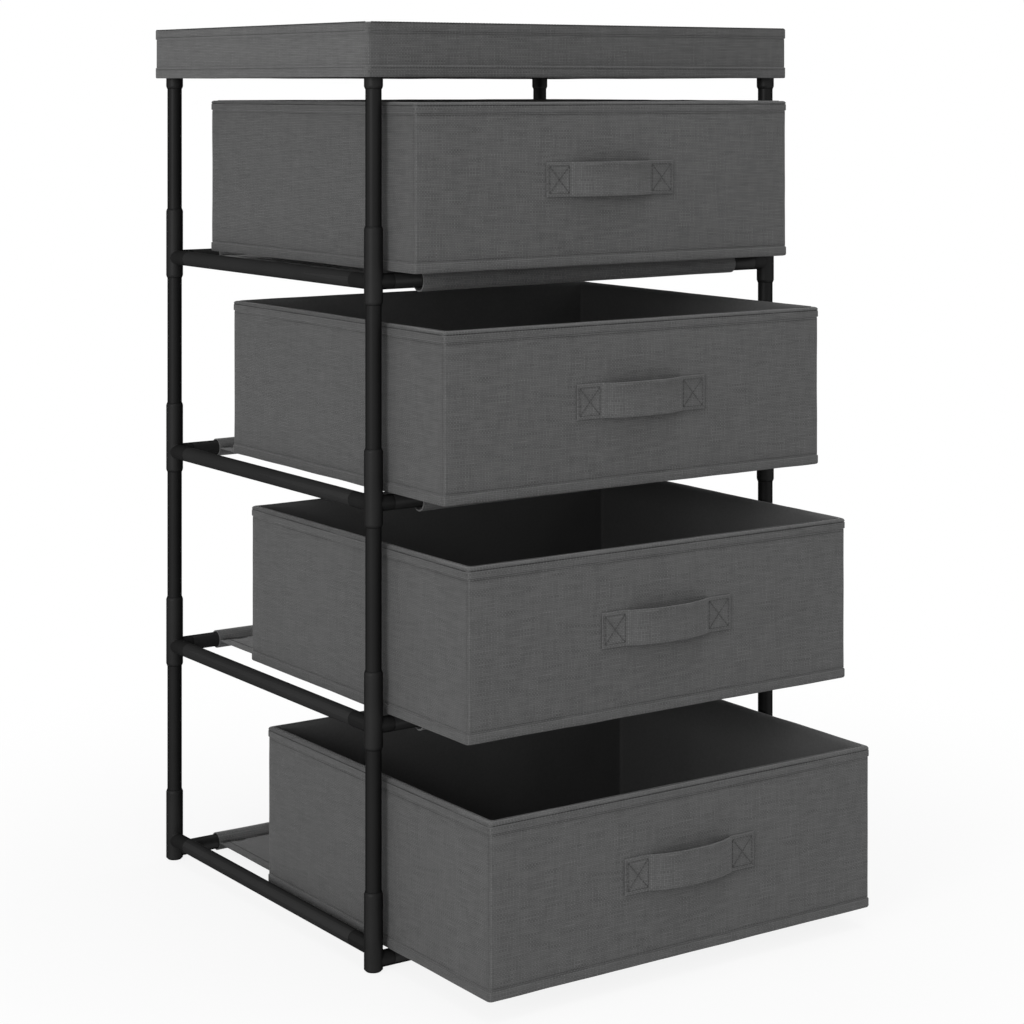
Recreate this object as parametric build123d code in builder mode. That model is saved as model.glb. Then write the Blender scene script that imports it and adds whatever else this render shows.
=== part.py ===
from build123d import *
from math import sqrt
import os

# Basket storage rack: a black tube frame in moulded corner fittings, four fabric shelves sleeved
# over the rails, a fabric cover on a board, and four stiffened fabric baskets that slide out.
# All lengths are in millimetres. +Z is up and +Y is the back. The origin is on the floor, under
# the middle of the whole rack as it stands with its baskets partly pulled out.
# Levels and baskets are numbered from the top down.

# Whole rack
rack_height = 769.0
cover_width = 443.0
cover_depth = 381.0
level_count = 4
top_bay_extra = 7.45

# Tubes
tube_radius = 6.65
tube_wall = 0.8
post_inset_side = 14.0
post_inset_front = 13.4

# Corner fittings
sleeve_wall = 1.0
post_fit = 0.1
spigot_fit = 0.15
spigot_length = 15.0
spigot_rib = 3.0
side_arm_reach = 29.5
cross_arm_reach = 17.0
lip_length = 2.2
lip_chamfer = 0.8
web_thickness = 4.0
end_wall = 4.0
foot_chamfer = 1.6
cap_chamfer = 1.0
mid_sleeve_below = 18.8
mid_sleeve_above = 45.1
foot_sleeve_above = 46.5
cap_sleeve_below = 31.1
side_rail_offset = 9.85

# Fabric shelves
sheet_thickness = 1.2
sheet_gap_left = 27.0
sheet_gap_right = 18.0
sheet_hem_width = 10.0
sheet_hem_step = 0.5
sheet_play = 0.25
floor_gap = 0.3

# Fabric cover and its board
cover_drop = 44.8
cover_fabric = 1.5
skirt_thickness = 3.0
cover_corner = 3.5
cover_edge = 1.2
cover_hem_top = 8.0
cover_hem_bottom = 8.0
cover_hem_step = 0.6
top_board_thickness = 5.0
top_board_play = 0.5
rail_to_board_gap = 0.3

# Baskets
basket_side_gap = 3.75
basket_back_room = 32.0
basket_head_room = 42.8
basket_wall = 8.0
basket_corner = 3.0
basket_edge = 1.0
outer_fabric = 2.0
lining_fabric = 1.2
hem_top = 8.5
hem_bottom = 7.8
hem_step = 0.6
board_play = 0.3
base_board_thickness = 3.0
lining_gap = 0.3
basket_seat_gap = 0.3
pull_out_1 = 30.2
pull_out_2 = 72.8
pull_out_3 = 107.1
pull_out_4 = 137.3

# Strap handles
strap_length = 133.0
strap_patch = 23.5
strap_height = 29.0
strap_below_rim = 64.7
strap_thickness = 1.6
strap_bow = 8.5

# Derived sizes
bore_radius = tube_radius + post_fit
sleeve_radius = bore_radius + sleeve_wall
spigot_radius = tube_radius - tube_wall - spigot_fit
spigot_span = 2 * sqrt(spigot_radius**2 - (spigot_rib / 2) ** 2)
sheet_bore = tube_radius + sheet_play
sheet_roll = sheet_bore + sheet_thickness
strap_reach = strap_bow + strap_thickness - hem_step
longest_pull_out = max(pull_out_1, pull_out_2, pull_out_3, pull_out_4)
front_plane = (longest_pull_out + strap_reach - cover_depth) / 2
frame_middle = front_plane + cover_depth / 2
post_x = cover_width / 2 - post_inset_side
post_y_half = cover_depth / 2 - post_inset_front
post_front = frame_middle - post_y_half
post_back = frame_middle + post_y_half
side_rail_length = 2 * (post_y_half - side_arm_reach)
cross_rail_length = 2 * (post_x - cross_arm_reach)
sheet_width = cross_rail_length - sheet_gap_left - sheet_gap_right
sheet_middle = (sheet_gap_left - sheet_gap_right) / 2
basket_width = 2 * (post_x - sleeve_radius - basket_side_gap)
basket_depth = cover_depth - basket_back_room

# Heights, from the floor up and from the top down
foot_cross_z = floor_gap + sheet_roll
foot_side_z = foot_cross_z + side_rail_offset
board_top = rack_height - cover_fabric
cap_top = board_top - top_board_thickness
cap_cross_z = cap_top - rail_to_board_gap - tube_radius
cap_side_z = cap_cross_z - side_rail_offset
level_height = (cap_side_z - foot_side_z - top_bay_extra) / level_count
shelf_side_z = [foot_side_z + level_height * (level_count - 1 - level) for level in range(level_count)]
shelf_cross_z = shelf_side_z[:-1] + [foot_cross_z]
basket_height = level_height - basket_head_room
strap_centre = basket_height - strap_below_rim

pull_outs = (pull_out_1, pull_out_2, pull_out_3, pull_out_4)

CORNERS = {
    "front_left": (-1, -1),
    "front_right": (1, -1),
    "back_left": (-1, 1),
    "back_right": (1, 1),
}


def save(piece, label):
    """Labels a finished piece and writes it to its own file."""
    piece.part.label = label
    export_step(piece.part, f"parts/{label}.step")


def save_group(label, pieces):
    """Writes several separate pieces as one named group."""
    with BuildPart() as group:
        for piece in pieces:
            add(piece.part)
    save(group, label)


def post_axis(x_side, y_side):
    """The plan position of a corner post."""
    return x_side * post_x, frame_middle + y_side * post_y_half


def corner_fitting(x_side, y_side, low_z, high_z, side_z, cross_z, low_seat, high_seat):
    """A moulded fitting: a sleeve round the post and two arms that carry the rails.

    A seat is the height where a post tube ends inside the sleeve, or None at a closed end. Each arm
    ends in a shoulder for its rail and a cross-shaped spigot that goes inside the rail.
    """
    x, y = post_axis(x_side, y_side)
    side_arm = Plane((x, y, side_z), x_dir=(1, 0, 0), z_dir=(0, -y_side, 0))
    cross_arm = Plane((x, y, cross_z), x_dir=(0, 1, 0), z_dir=(-x_side, 0, 0))
    low_in, low_rise = (foot_chamfer, foot_chamfer) if low_seat is None else (lip_chamfer, lip_length)
    high_in, high_rise = (cap_chamfer, cap_chamfer) if high_seat is None else (lip_chamfer, lip_length)
    with BuildPart() as fitting:
        with BuildSketch(Plane((x, y, 0), x_dir=(1, 0, 0), z_dir=(0, -1, 0))):
            with BuildLine():
                Polyline(
                    (0, low_z),
                    (sleeve_radius - low_in, low_z),
                    (sleeve_radius, low_z + low_rise),
                    (sleeve_radius, high_z - high_rise),
                    (sleeve_radius - high_in, high_z),
                    (0, high_z),
                    close=True,
                )
            make_face()
        revolve(axis=Axis((x, y, 0), (0, 0, 1)))
        for arm, reach in ((side_arm, side_arm_reach), (cross_arm, cross_arm_reach)):
            with BuildSketch(arm):
                Circle(tube_radius)
            extrude(amount=reach)
            with BuildSketch(arm.offset(reach)):
                Rectangle(spigot_span, spigot_rib)
                Rectangle(spigot_rib, spigot_span)
            extrude(amount=spigot_length)
        if low_seat is not None:
            with BuildSketch(Plane((x, y, low_z))):
                Circle(bore_radius)
            extrude(amount=low_seat - low_z, mode=Mode.SUBTRACT)
        if high_seat is not None:
            with BuildSketch(Plane((x, y, high_seat))):
                Circle(bore_radius)
            extrude(amount=high_z - high_seat, mode=Mode.SUBTRACT)
    return fitting


def tube(start, direction, length):
    """A straight tube from a point along a direction."""
    with BuildPart() as piece:
        with BuildSketch(Plane(start, z_dir=direction)):
            Circle(tube_radius)
            Circle(tube_radius - tube_wall, mode=Mode.SUBTRACT)
        extrude(amount=length)
    return piece


def shelf_sheet(cross_z):
    """A fabric shelf: a sheet at the height of the rails' axes, with a sewn sleeve round each rail."""
    low_x = sheet_middle - sheet_width / 2
    with BuildPart() as sheet:
        with BuildSketch(Plane((low_x, 0, 0), x_dir=(0, 1, 0), z_dir=(1, 0, 0))):
            with Locations((frame_middle, cross_z)):
                Rectangle(post_back - post_front, sheet_thickness)
            with Locations((post_front, cross_z), (post_back, cross_z)):
                Circle(sheet_roll)
            with Locations((post_front, cross_z), (post_back, cross_z)):
                Circle(sheet_bore, mode=Mode.SUBTRACT)
        extrude(amount=sheet_width)
        hem_offset = (sheet_width - sheet_hem_width) / 2
        for side in (-1, 1):
            with BuildSketch(Plane((sheet_middle + side * hem_offset, frame_middle, cross_z))):
                Rectangle(sheet_hem_width, post_back - post_front - 2 * sheet_roll)
            extrude(amount=sheet_thickness / 2 + sheet_hem_step, both=True)
    return sheet


def fabric_cover():
    """The top's fabric cover: a flat top with a turned-down skirt all round, set in between two hems."""
    panel_height = cover_drop - cover_hem_bottom - cover_hem_top
    panel_low_z = rack_height - cover_drop + cover_hem_bottom
    with BuildPart() as cover:
        with BuildSketch(Plane((0, frame_middle, rack_height - cover_drop))):
            RectangleRounded(cover_width, cover_depth, cover_corner)
        extrude(amount=cover_drop)
        chamfer(cover.faces().sort_by(Axis.Z)[-1].edges(), length=cover_edge)
        with BuildSketch(Plane((0, frame_middle, panel_low_z))):
            RectangleRounded(cover_width, cover_depth, cover_corner)
            RectangleRounded(
                cover_width - 2 * cover_hem_step,
                cover_depth - 2 * cover_hem_step,
                cover_corner - cover_hem_step,
                mode=Mode.SUBTRACT,
            )
        extrude(amount=panel_height, mode=Mode.SUBTRACT)
        with BuildSketch(Plane((0, frame_middle, rack_height - cover_drop))):
            Rectangle(cover_width - 2 * skirt_thickness, cover_depth - 2 * skirt_thickness)
        extrude(amount=cover_drop - cover_fabric, mode=Mode.SUBTRACT)
    return cover


def top_board():
    """The board that keeps the cover flat, resting on the four top fittings."""
    inset = 2 * (skirt_thickness + top_board_play)
    with BuildPart() as board:
        with BuildSketch(Plane((0, frame_middle, cap_top))):
            Rectangle(cover_width - inset, cover_depth - inset)
        extrude(amount=top_board_thickness)
    return board


def basket_body(front_y, bottom_z):
    """A basket's outer fabric: floor, walls set in between two hems, and a rim folded over the boards."""
    middle_y = front_y + basket_depth / 2
    floor_top = bottom_z + outer_fabric
    rim_under = bottom_z + basket_height - outer_fabric
    panel_height = basket_height - hem_bottom - hem_top
    with BuildPart() as body:
        with BuildSketch(Plane((0, middle_y, bottom_z))):
            RectangleRounded(basket_width, basket_depth, basket_corner)
        extrude(amount=basket_height)
        with BuildSketch(Plane((0, middle_y, floor_top))):
            Rectangle(basket_width - 2 * basket_wall, basket_depth - 2 * basket_wall)
        extrude(amount=basket_height, mode=Mode.SUBTRACT)
        chamfer(body.faces().sort_by(Axis.Z)[-1].outer_wire().edges(), length=basket_edge)
        with BuildSketch(Plane((0, middle_y, floor_top))):
            Rectangle(basket_width - 2 * outer_fabric, basket_depth - 2 * outer_fabric)
        extrude(amount=rim_under - floor_top, mode=Mode.SUBTRACT)
        with BuildSketch(Plane((0, middle_y, bottom_z + hem_bottom))):
            RectangleRounded(basket_width, basket_depth, basket_corner)
            RectangleRounded(
                basket_width - 2 * hem_step,
                basket_depth - 2 * hem_step,
                basket_corner - hem_step,
                mode=Mode.SUBTRACT,
            )
        extrude(amount=panel_height, mode=Mode.SUBTRACT)
    return body


def basket_lining(front_y, bottom_z):
    """The black lining, which hangs from the rim in front of the wall boards, down to the base board."""
    low_z = bottom_z + outer_fabric + base_board_thickness + lining_gap
    inner_width = basket_width - 2 * basket_wall
    inner_depth = basket_depth - 2 * basket_wall
    with BuildPart() as lining:
        with BuildSketch(Plane((0, front_y + basket_depth / 2, low_z))):
            Rectangle(inner_width + 2 * lining_fabric, inner_depth + 2 * lining_fabric)
            Rectangle(inner_width, inner_depth, mode=Mode.SUBTRACT)
        extrude(amount=bottom_z + basket_height - outer_fabric - low_z)
    return lining


def wall_boards(front_y, bottom_z):
    """The four boards that stiffen a basket's walls, standing on its base board."""
    middle_y = front_y + basket_depth / 2
    thickness = basket_wall - outer_fabric - lining_fabric - 2 * board_play
    low_z = bottom_z + outer_fabric + base_board_thickness
    height = bottom_z + basket_height - outer_fabric - board_play - low_z
    outset = outer_fabric + board_play + thickness / 2
    side_length = basket_depth - 2 * (outer_fabric + board_play + thickness + board_play)
    with BuildPart() as boards:
        with BuildSketch(Plane((0, middle_y, low_z))):
            with GridLocations(0, basket_depth - 2 * outset, 1, 2):
                Rectangle(basket_width - 2 * (outer_fabric + board_play), thickness)
            with GridLocations(basket_width - 2 * outset, 0, 2, 1):
                Rectangle(thickness, side_length)
        extrude(amount=height)
    return boards


def base_board(front_y, bottom_z):
    """The loose stiff board on a basket's fabric floor."""
    inset = 2 * (outer_fabric + board_play)
    with BuildPart() as board:
        with BuildSketch(Plane((0, front_y + basket_depth / 2, bottom_z + outer_fabric))):
            Rectangle(basket_width - inset, basket_depth - inset)
        extrude(amount=base_board_thickness)
    return board


def strap_handle(front_y, bottom_z):
    """A strap sewn flat at both ends and bowed outwards between them."""
    half = strap_length / 2
    free = half - strap_patch
    low_z = bottom_z + strap_centre - strap_height / 2
    with BuildPart() as strap:
        with BuildSketch(Plane((0, front_y + hem_step, low_z))):
            with BuildLine():
                left_patch = Polyline((-half, 0), (-half, -strap_thickness), (-free, -strap_thickness))
                outer = ThreePointArc(
                    left_patch @ 1,
                    (0, -strap_bow - strap_thickness),
                    (free, -strap_thickness),
                )
                inner_end = free - strap_thickness
                right_patch = Polyline(outer @ 1, (half, -strap_thickness), (half, 0), (inner_end, 0))
                inner = ThreePointArc(right_patch @ 1, (0, -strap_bow), (-inner_end, 0))
                Line(inner @ 1, left_patch @ 0)
            make_face()
        extrude(amount=strap_height)
    return strap


os.makedirs("parts", exist_ok=True)

# Corner fittings, four alike at each level, from the top down
half_web = web_thickness / 2
caps = [
    corner_fitting(
        x_side,
        y_side,
        cap_side_z - cap_sleeve_below,
        cap_top,
        cap_side_z,
        cap_cross_z,
        cap_top - end_wall,
        None,
    )
    for x_side, y_side in CORNERS.values()
]
save_group("top_fittings", caps)
for level, rail_z in enumerate(shelf_side_z[:-1], start=1):
    joints = [
        corner_fitting(
            x_side,
            y_side,
            rail_z - mid_sleeve_below,
            rail_z + mid_sleeve_above,
            rail_z,
            rail_z,
            rail_z - half_web,
            rail_z + half_web,
        )
        for x_side, y_side in CORNERS.values()
    ]
    save_group(f"corner_fittings_{level}", joints)
feet = [
    corner_fitting(
        x_side,
        y_side,
        0,
        foot_side_z + foot_sleeve_above,
        foot_side_z,
        foot_cross_z,
        None,
        end_wall,
    )
    for x_side, y_side in CORNERS.values()
]
save_group("foot_fittings", feet)

# Posts: one tube per bay, seated on the webs inside the fittings
post_tops = [cap_top - end_wall] + [rail_z - half_web for rail_z in shelf_side_z[:-1]]
post_feet = [rail_z + half_web for rail_z in shelf_side_z[:-1]] + [end_wall]
for corner, (x_side, y_side) in CORNERS.items():
    x, y = post_axis(x_side, y_side)
    sections = [tube((x, y, low), (0, 0, 1), high - low) for low, high in zip(post_feet, post_tops)]
    save_group(f"post_tubes_{corner}", sections)

# Rails: each one runs between the shoulders of two fittings' arms
rail_heights = zip([cap_side_z] + shelf_side_z, [cap_cross_z] + shelf_cross_z)
for level, (side_z, cross_z) in enumerate(rail_heights):
    side_start_y = post_front + side_arm_reach
    side_pair = [
        tube((x_side * post_x, side_start_y, side_z), (0, 1, 0), side_rail_length)
        for x_side in (-1, 1)
    ]
    save_group(f"side_rails_{level}", side_pair)
    cross_start_x = cross_arm_reach - post_x
    cross_pair = [
        tube((cross_start_x, y, cross_z), (1, 0, 0), cross_rail_length)
        for y in (post_front, post_back)
    ]
    save_group(f"cross_rails_{level}", cross_pair)

# Fabric shelves, cover and board
for level, cross_z in enumerate(shelf_cross_z, start=1):
    save(shelf_sheet(cross_z), f"shelf_sheet_{level}")
save(fabric_cover(), "fabric_cover")
save(top_board(), "top_board")

# Baskets
for number, (pull_out, cross_z) in enumerate(zip(pull_outs, shelf_cross_z), start=1):
    front_y = front_plane - pull_out
    bottom_z = cross_z + sheet_roll + basket_seat_gap
    save(basket_body(front_y, bottom_z), f"basket_{number}_body")
    save(basket_lining(front_y, bottom_z), f"basket_{number}_lining")
    save(wall_boards(front_y, bottom_z), f"basket_{number}_wall_boards")
    save(base_board(front_y, bottom_z), f"basket_{number}_base_board")
    save(strap_handle(front_y, bottom_z), f"basket_{number}_handle")
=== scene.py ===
"""Dresses a four-level basket storage rack: black tubes in moulded fittings, fabric shelves, a
fabric cover, and four lined fabric baskets with strap handles."""

import logging
import math
from collections.abc import Callable
from dataclasses import dataclass, field
from enum import Enum
from typing import ClassVar

import bmesh
import bpy
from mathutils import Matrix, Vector


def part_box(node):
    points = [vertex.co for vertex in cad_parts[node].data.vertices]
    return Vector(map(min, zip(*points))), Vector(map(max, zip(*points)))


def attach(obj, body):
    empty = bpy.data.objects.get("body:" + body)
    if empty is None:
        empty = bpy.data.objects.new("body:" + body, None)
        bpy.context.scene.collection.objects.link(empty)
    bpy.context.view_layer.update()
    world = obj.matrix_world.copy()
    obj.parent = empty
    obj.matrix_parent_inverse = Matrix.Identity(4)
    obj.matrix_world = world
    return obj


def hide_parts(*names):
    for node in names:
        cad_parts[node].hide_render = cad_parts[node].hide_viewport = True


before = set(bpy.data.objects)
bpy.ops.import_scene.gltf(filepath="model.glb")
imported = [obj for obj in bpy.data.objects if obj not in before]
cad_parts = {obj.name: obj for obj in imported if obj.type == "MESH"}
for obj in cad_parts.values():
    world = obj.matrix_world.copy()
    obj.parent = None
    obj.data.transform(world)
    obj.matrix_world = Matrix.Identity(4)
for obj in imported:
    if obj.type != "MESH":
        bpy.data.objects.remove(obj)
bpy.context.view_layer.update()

logging.basicConfig(level=logging.INFO, format="%(name)s: %(message)s")
log = logging.getLogger("rack")

Piece = bpy.types.Object
Colour = tuple[float, float, float, float]
Profile = tuple[tuple[float, float], ...]
Points = list[tuple[float, float]]

MM = 0.001
TOUCH = 1e-6
GAMMA = 2.2
NOISE_MEAN = 0.5
BASKETS = (1, 2, 3, 4)
LEVELS = (0, 1, 2, 3, 4)
CORNERS = ("front_left", "front_right", "back_left", "back_right")
WHITE = (1.0, 1.0, 1.0, 1.0)


class Slot(Enum):
    """The record's material slots."""

    COVER = "cover_fabric"
    SHELF = "shelf_fabric"
    BASKET = "basket_fabric"
    LINING = "lining_fabric"


class Finish(Enum):
    """The finishes, by the names of their materials."""

    COVER = "cover_weave"
    SHELF = "shelf_weave"
    BASKET = "basket_weave"
    # A darker copy of the basket cloth for the sides: painted shade.
    BASKET_SIDE = "basket_side_weave"
    LINING = "black_lining"
    THREAD = "sewing_thread"
    EDGE_THREAD = "edge_thread"
    POST = "post_paint"
    # The rails' copy of the post paint, set lighter: painted light.
    RAIL = "rail_paint"
    PLASTIC = "moulded_plastic"
    BOARD = "grey_board"

    def material(self) -> bpy.types.Material:
        """The material, once it is made."""
        return bpy.data.materials[self.value]


class Part(Enum):
    """What a test picks on a mesh in edit mode."""

    FACES = "FACE"
    EDGES = "EDGE"
    CORNERS = "VERT"


def linear(level: float) -> float:
    """Turns a grey level of a picture, 0 to 255, into the shader's linear value.

    Args:
        level: The grey level as it is seen in a picture.

    Returns:
        The linear value.
    """
    share = level / 255
    return share / 12.92 if share <= 0.04045 else ((share + 0.055) / 1.055) ** 2.4


def grey(level: float, warmth: float = 0.0) -> Colour:
    """A grey colour with a little warmth.

    Args:
        level: The grey level as it is seen in a picture.
        warmth: How much the red is raised and the blue lowered, in levels.

    Returns:
        The colour in linear values, with full alpha.
    """
    return linear(level + warmth), linear(level), linear(level - warmth), 1.0


def greys(level: float, drift: float) -> tuple[Colour, Colour]:
    """The two greys that lie a drift under a level and over it."""
    return grey(level - drift), grey(level + drift)


# Shader nodes


class Link:
    """An output of a node, on which sums are written as Python expressions."""

    def __init__(self, book: "NodeBook", socket: bpy.types.NodeSocket) -> None:
        """Wraps a node's output socket."""
        self.book = book
        self.socket = socket

    def _math(self, operation: str, *values: "Link | float") -> "Link":
        """Adds one Math node on the values."""
        return self.book.add("ShaderNodeMath", values, operation=operation)

    def __add__(self, other: "Link | float") -> "Link":
        """This plus another."""
        return self._math("ADD", self, other)

    __radd__ = __add__

    def __mul__(self, other: "Link | float") -> "Link":
        """This times another."""
        return self._math("MULTIPLY", self, other)

    __rmul__ = __mul__

    def __sub__(self, other: "Link | float") -> "Link":
        """This less another."""
        return self._math("SUBTRACT", self, other)

    def __rsub__(self, other: float) -> "Link":
        """A number less this."""
        return self._math("SUBTRACT", other, self)

    def __truediv__(self, other: "Link | float") -> "Link":
        """This divided by another."""
        return self._math("DIVIDE", self, other)

    def __rtruediv__(self, other: float) -> "Link":
        """A number divided by this."""
        return self._math("DIVIDE", other, self)

    def __pow__(self, power: float) -> "Link":
        """This to a power."""
        return self._math("POWER", self, power)

    def __rpow__(self, base: float) -> "Link":
        """A number to the power of this."""
        return self._math("POWER", base, self)

    def __abs__(self) -> "Link":
        """This without its sign."""
        return self._math("ABSOLUTE", self)

    def sine(self) -> "Link":
        """The sine of this."""
        return self._math("SINE", self)

    def whole(self) -> "Link":
        """The whole number under this."""
        return self._math("FLOOR", self)

    def larger(self, other: "Link") -> "Link":
        """The larger of this and another."""
        return self._math("MAXIMUM", self, other)

    def between(self, low: float, high: float) -> "Link":
        """Runs from 0 to 1 as this goes from low to high, with soft ends.

        Args:
            low: Where the result is 0.
            high: Where the result is 1.

        Returns:
            The softened share.
        """
        inputs = {"Value": self, "From Min": low, "From Max": high}
        return self.book.add("ShaderNodeMapRange", inputs, interpolation_type="SMOOTHSTEP")


class NodeBook:
    """The nodes of one material or world."""

    def __init__(self, tree: bpy.types.NodeTree) -> None:
        """Empties the node tree."""
        self.tree = tree
        tree.nodes.clear()

    def add(
        self,
        kind: str,
        inputs: dict[str | int, object] | tuple[object, ...] = (),
        output: str | int = 0,
        **settings: object,
    ) -> Link:
        """Adds one node.

        Args:
            kind: The node's type.
            inputs: Values or links, by socket name or in order.
            output: The output that is wanted, by name or place.
            settings: The node's own settings, set first.

        Returns:
            That output.
        """
        node = self.tree.nodes.new(kind)
        for name, value in settings.items():
            setattr(node, name, value)
        for name, value in inputs.items() if isinstance(inputs, dict) else enumerate(inputs):
            if isinstance(value, Link):
                self.tree.links.new(value.socket, node.inputs[name])
            else:
                node.inputs[name].default_value = value
        return Link(self, node.outputs[output] if node.outputs else None)

    def place(self, kind: str = "Object") -> Link:
        """The place on the object in the row frame's metres, or "UV" for that on the cloth."""
        return self.add("ShaderNodeTexCoord", output=kind)

    def split(self, at: Link) -> tuple[Link, Link]:
        """The X and the Y of a place."""
        x, y = (self.add("ShaderNodeSeparateXYZ", {"Vector": at}, axis) for axis in "XY")
        return x, y

    def noise(self, at: Link, size: float, detail: float = 2.0) -> Link:
        """Cloudy noise.

        Args:
            at: The place it is read at.
            size: The size of its patches, in the units of the place.
            detail: How many finer layers it has.

        Returns:
            Its value, about 0.5 on average.
        """
        return self.add("ShaderNodeTexNoise", {"Vector": at, "Scale": 1 / size, "Detail": detail})

    def blend(self, share: Link, low: Colour, high: Colour) -> Link:
        """Mixes two colours.

        Args:
            share: 0 for the first, 1 for the second.
            low: The first colour.
            high: The second colour.

        Returns:
            The mixed colour.
        """
        return self.add("ShaderNodeMix", {0: share, 6: low, 7: high}, 2, data_type="RGBA")

    def bump(
        self, height: Link, depth: float, strength: float = 0.5, normal: Link | None = None
    ) -> Link:
        """A bumpy normal.

        Args:
            height: The height, from 0 to 1.
            depth: What a height of 1 is, in metres.
            strength: How much of it shows.
            normal: The normal under the bumps, where it isn't the surface's own.

        Returns:
            The normal.
        """
        inputs = {"Height": height, "Distance": depth, "Strength": strength}
        return self.add("ShaderNodeBump", inputs | ({"Normal": normal} if normal else {}))

    def surface(self, inputs: dict[str, object]) -> None:
        """Ends the material in one shader.

        Args:
            inputs: Values or links of the shader's sockets.
        """
        shader = self.add("ShaderNodeBsdfPrincipled", inputs)
        self.add("ShaderNodeOutputMaterial", {"Surface": shader})


def new_material(name: str) -> tuple[bpy.types.Material, NodeBook]:
    """Makes an empty node material.

    Args:
        name: The material's name.

    Returns:
        The material and its nodes.
    """
    material = bpy.data.materials.new(name)
    material.use_nodes = True
    return material, NodeBook(material.node_tree)


# Finishes

SATIN = {"Metallic": 0.43, "Specular IOR Level": 0.0, "Specular Tint": grey(0)}


@dataclass(frozen=True)
class WovenFabric:
    """A plain weave of thick and thin yarns, as on the baskets, the cover and the shelves."""

    finish: Finish
    level: float
    drawn_level: float = 118.0
    headroom: float = 2.0
    yarn: float = 1.45 * MM
    crossing: float = 0.12
    roundness: float = 0.55
    dip: float = 0.25
    crown_light: float = 0.46
    valley_light: float = 0.69
    crown_height: float = 0.75
    slub_light: float = 1.04
    slub_run: float = 22 * MM
    slub_stride: float = 1.7
    warp_slub: float = 0.7
    warp_light: float = 0.10
    cloud: float = 60 * MM
    cloud_light: float = 0.10
    relief: float = 0.30 * MM

    def make(self) -> None:
        """Builds the material from the piece's own UV map."""
        _, book = new_material(self.finish.value)
        along, across = book.split(book.place("UV"))
        warp_at, weft_at = along / self.yarn, across / self.yarn
        warp_wave, weft_wave = (warp_at * math.pi).sine(), (weft_at * math.pi).sine()
        warp_over = (warp_wave * weft_wave).between(-self.crossing, self.crossing)
        warp_crown = abs(warp_wave) ** self.roundness * abs(weft_wave) ** self.dip
        weft_crown = abs(weft_wave) ** self.roundness * abs(warp_wave) ** self.dip
        crown = warp_over * warp_crown + (1 - warp_over) * weft_crown
        warp_slub = self._slub(book, warp_at, across) * self.warp_slub + (1 - self.warp_slub) / 2
        slubs = warp_over * warp_slub + (1 - warp_over) * self._slub(book, weft_at, along)
        cloudy = book.noise(book.place(), self.cloud, detail=3.0)
        # Lighter on the yarns' crowns and darker in the valleys between them: painted shade between
        # the yarns; the slubs and the clouds are the yarns' own tone.
        light = (
            (crown * self.crown_light + self.valley_light)
            * ((slubs - NOISE_MEAN) * self.slub_light + 1)
            * ((cloudy - NOISE_MEAN) * self.cloud_light + 1)
            * (warp_over * self.warp_light + (1 - self.warp_light / 2))
        )
        colour = book.blend(light * (1 / self.headroom), grey(0), grey(self.drawn_level))
        tint = (self.headroom * (self.level / self.drawn_level) ** GAMMA,) * 3
        tinted = book.add("ShaderNodeVectorMath", (colour, tint), operation="MULTIPLY")
        height = crown * self.crown_height + slubs * (1 - self.crown_height)
        book.surface(
            {
                "Base Color": tinted,
                "Roughness": 0.88,
                "Specular IOR Level": 0.2,
                "Sheen Weight": 0.2,
                "Sheen Roughness": 0.4,
                "Normal": book.bump(height, self.relief, strength=1.0),
            }
        )

    def _slub(self, book: NodeBook, yarn_at: Link, run: Link) -> Link:
        """The thick and thin places of each yarn.

        Args:
            book: The material's nodes.
            yarn_at: The place across the yarns, in yarns.
            run: The place along the yarn, in metres.

        Returns:
            A value about 0.5 on average that drifts along each yarn.
        """
        inputs = {"X": yarn_at.whole() * self.slub_stride, "Y": run / self.slub_run}
        return book.noise(book.add("ShaderNodeCombineXYZ", inputs), size=1.0, detail=1.0)


@dataclass(frozen=True)
class BlackLining:
    """A thin black non-woven lining with small bonded dimples."""

    finish: Finish
    # Far lighter than the lining's real black: painted light that makes up for the shade inside the
    # baskets.
    level: float = 84.0
    drift: float = 5.0
    fibre: float = 2.2 * MM
    cloud: float = 70 * MM
    dimple: float = 1.6 * MM
    scatter: float = 0.35
    fibre_share: float = 0.8
    cloud_share: float = 0.5
    dimple_edge: tuple[float, float] = (0.1, 0.5)
    dimple_height: float = 0.6
    roughness: float = 0.78
    rougher: float = 0.1
    relief: float = 0.12 * MM

    def make(self) -> None:
        """Builds the material from the place on the object."""
        _, book = new_material(self.finish.value)
        place = book.place()
        fibre = book.noise(place, self.fibre, detail=4.0)
        cloudy = book.noise(place, self.cloud)
        inputs = {"Vector": place, "Scale": 1 / self.dimple, "Randomness": self.scatter}
        dimples = book.add("ShaderNodeTexVoronoi", inputs)
        fibres = (fibre - NOISE_MEAN) * self.fibre_share
        clouds = (cloudy - NOISE_MEAN) * self.cloud_share
        share = (fibres + clouds + NOISE_MEAN).between(0, 1)
        dimple = dimples.between(*self.dimple_edge) * self.dimple_height
        height = dimple + fibre * (1 - self.dimple_height)
        book.surface(
            {
                "Base Color": book.blend(share, *greys(self.level, self.drift)),
                "Roughness": share * self.rougher + self.roughness,
                "Specular IOR Level": 0.15,
                "Normal": book.bump(height, self.relief, strength=0.6),
            }
        )


@dataclass(frozen=True)
class SewingThread:
    """A twisted thread, darker than the cloth."""

    finish: Finish
    level: float = 58.0
    drift: float = 8.0
    twist: float = 3.2 * MM
    relief: float = 0.1 * MM

    def make(self) -> None:
        """Builds the material from the place on the object."""
        _, book = new_material(self.finish.value)
        inputs = {"Vector": book.place(), "Scale": 1 / self.twist, "Distortion": 0.6}
        twist = book.add("ShaderNodeTexWave", inputs, "Fac", bands_direction="DIAGONAL")
        book.surface(
            {
                "Base Color": book.blend(twist, *greys(self.level, self.drift)),
                "Roughness": 0.7,
                "Normal": book.bump(twist, self.relief),
            }
        )


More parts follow.
